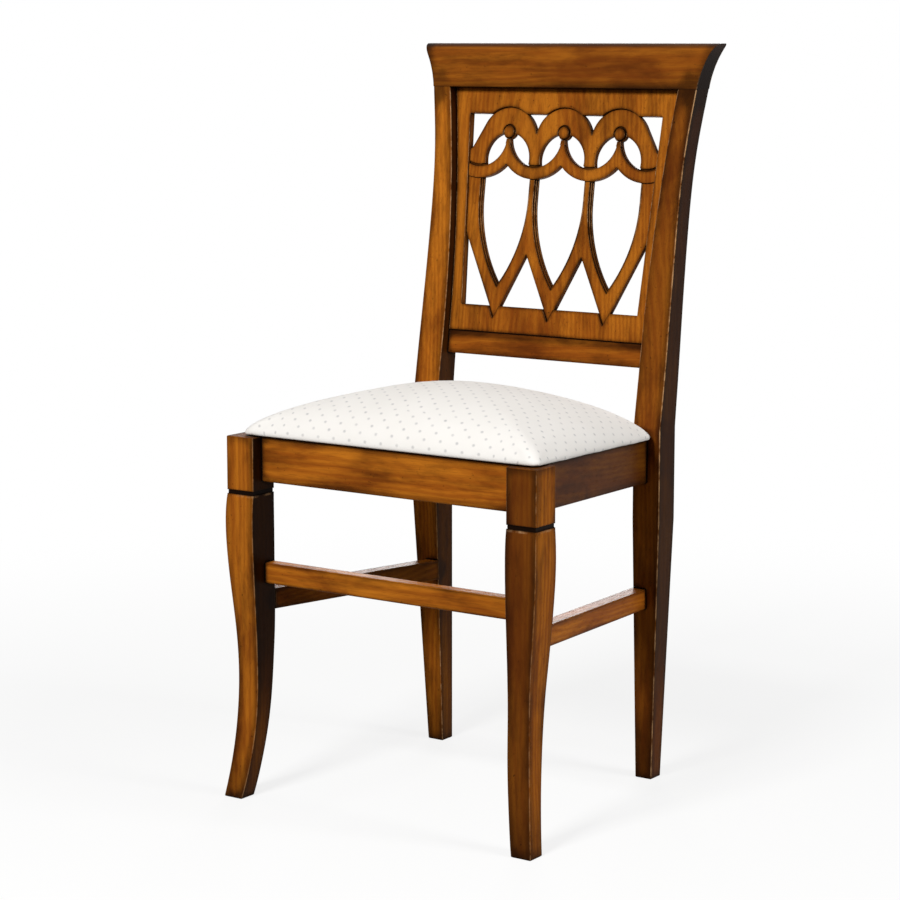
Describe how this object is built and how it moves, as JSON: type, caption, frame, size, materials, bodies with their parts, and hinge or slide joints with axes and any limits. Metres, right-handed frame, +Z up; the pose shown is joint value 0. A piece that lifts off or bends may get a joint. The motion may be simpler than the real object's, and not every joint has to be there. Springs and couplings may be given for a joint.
{
  "type": "dining chair",
  "caption": "Wooden dining chair with shaped front legs, raked back posts, a flared crest rail, a pierced fretwork back panel and a domed upholstered seat pad.",
  "frame": {"origin": "centre of the footprint of the overall box, on the floor", "axes": "+Z up, +Y from the front of the chair to its back, +X to the right seen from the front"},
  "size_m": [0.4516, 0.4452, 0.9195],
  "materials": {
    "frame_wood": "honey brown stain with a dark antique glaze in the grooves, satin varnish",
    "bare_wood": "unfinished pale wood",
    "screw_steel": "zinc plated",
    "foam": "open cell cushion foam",
    "cover_fabric": "ivory weave with small grey dots"
  },
  "bodies": {
    "root": {"front_leg_left": "frame_wood", "front_leg_right": "frame_wood", "rear_post_left": "frame_wood", "rear_post_right": "frame_wood", "front_seat_rail": "frame_wood", "rear_seat_rail": "frame_wood", "side_seat_rail_left": "frame_wood", "side_seat_rail_right": "frame_wood", "front_stretcher": "frame_wood", "side_stretcher_left": "frame_wood", "side_stretcher_right": "frame_wood", "crest_rail": "frame_wood", "lower_back_rail": "frame_wood", "back_splat": "frame_wood", "crest_dowels": "bare_wood", "corner_block_front_left": "bare_wood", "corner_block_front_right": "bare_wood", "corner_block_rear_left": "bare_wood", "corner_block_rear_right": "bare_wood", "corner_block_screws": "screw_steel", "seat_fixing_screws": "screw_steel", "seat_board": "bare_wood", "seat_foam": "foam", "seat_cover": "cover_fabric"}
  },
  "joints": []
}
